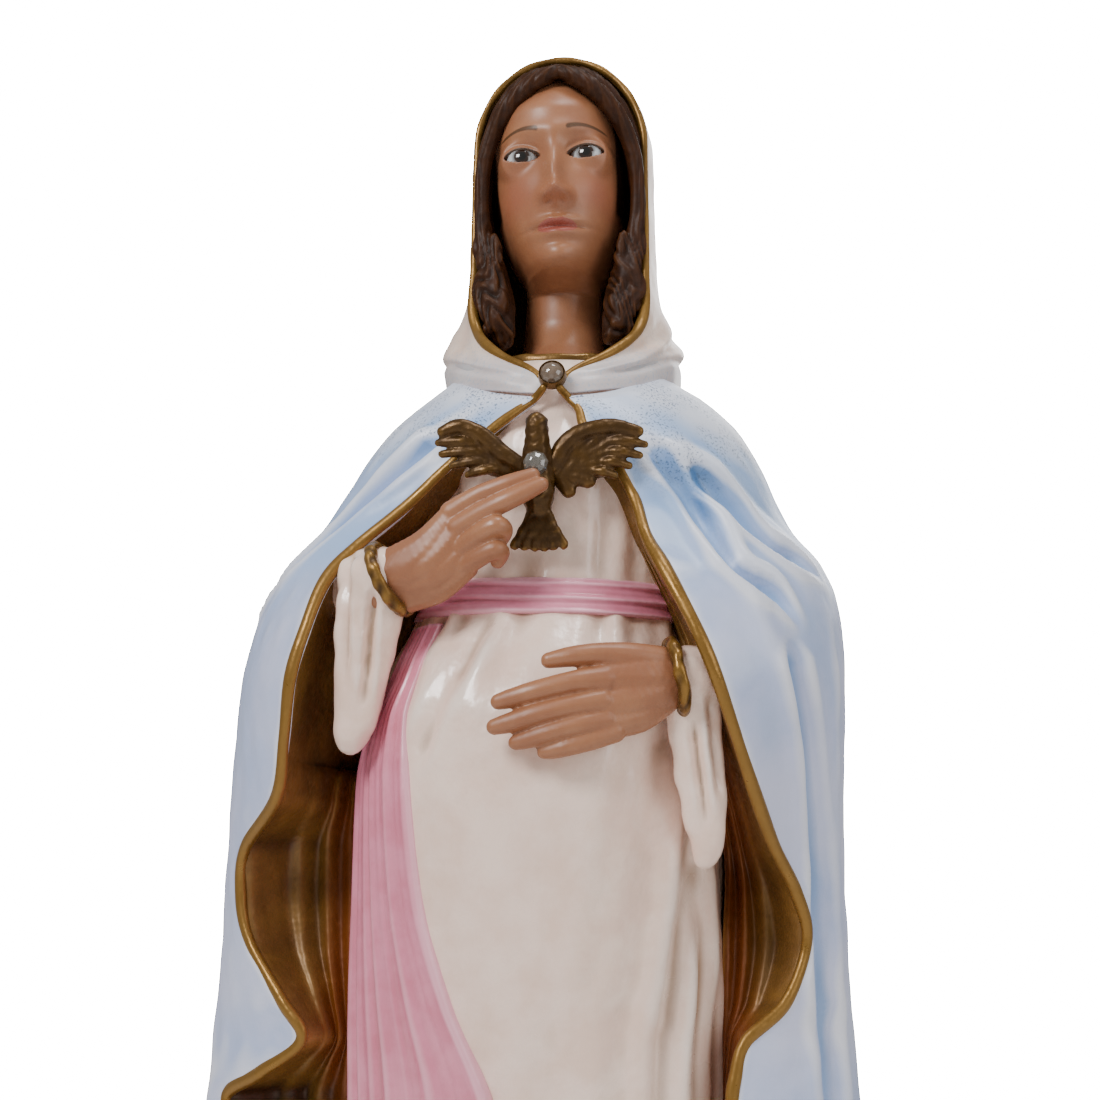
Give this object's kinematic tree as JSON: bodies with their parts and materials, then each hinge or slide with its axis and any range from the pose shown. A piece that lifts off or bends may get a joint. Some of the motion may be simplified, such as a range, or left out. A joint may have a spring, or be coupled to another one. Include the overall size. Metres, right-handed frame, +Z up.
{
  "type": "religious figurine",
  "caption": "Standing Madonna in a hooded blue mantle over a white gown, with a gold dove at the breast and a hand on the belly, on a moulded plinth.",
  "frame": {"origin": "middle of the plinth's footprint, on the surface it stands on", "axes": "+Z up through the head, the figure faces -Y, its left hand is towards +X"},
  "size_m": [0.228, 0.182, 0.5975],
  "materials": {
    "mantle_blue": "cast resin, satin pale blue airbrushed over white",
    "cowl_white": "cast resin, satin off-white lacquer",
    "gown_white": "cast resin, glossy white lacquer",
    "gold_paint": "cast resin, antique gold metallic paint",
    "skin_paint": "cast resin, eggshell skin-tone paint",
    "hair_paint": "cast resin, dark brown paint",
    "sash_pink": "cast resin, glossy pink lacquer",
    "eye_glass": "polished glass eye, white with a dark iris",
    "crystal": "foil-backed cut crystal",
    "plinth_white": "cast resin, glossy white lacquer",
    "steel": "zinc-plated steel",
    "wood": "plywood disc, sawn and sealed",
    "felt": "grey-green wool felt"
  },
  "bodies": {
    "root": {"base_felt": "felt", "base_plinth": "plinth_white", "tie_rod": "steel", "tie_rod_nuts": "steel", "tie_rod_washers": "steel", "hem_bulkhead": "wood", "gown_shell": "gown_white", "shoulder_bulkhead": "wood", "head": "skin_paint", "eye_left": "eye_glass", "eye_right": "eye_glass", "hair_left": "hair_paint", "hair_right": "hair_paint", "neckline_band": "gold_paint", "hood": "cowl_white", "hood_trim": "gold_paint", "mantle": "mantle_blue", "mantle_lining_left": "gold_paint", "mantle_lining_right": "gold_paint", "mantle_trim_left": "gold_paint", "mantle_trim_right": "gold_paint", "brooch_bezel": "gold_paint", "brooch_stone": "crystal", "belt": "sash_pink", "sash_drape": "sash_pink", "sleeve_left": "gown_white", "sleeve_right": "gown_white", "cuff_left": "gold_paint", "cuff_right": "gold_paint", "hand_left": "skin_paint", "hand_right": "skin_paint", "wrist_dowel_left": "steel", "wrist_dowel_right": "steel", "dove_body": "gold_paint", "dove_wing_left": "gold_paint", "dove_wing_right": "gold_paint", "dove_stone": "crystal"}
  },
  "joints": []
}
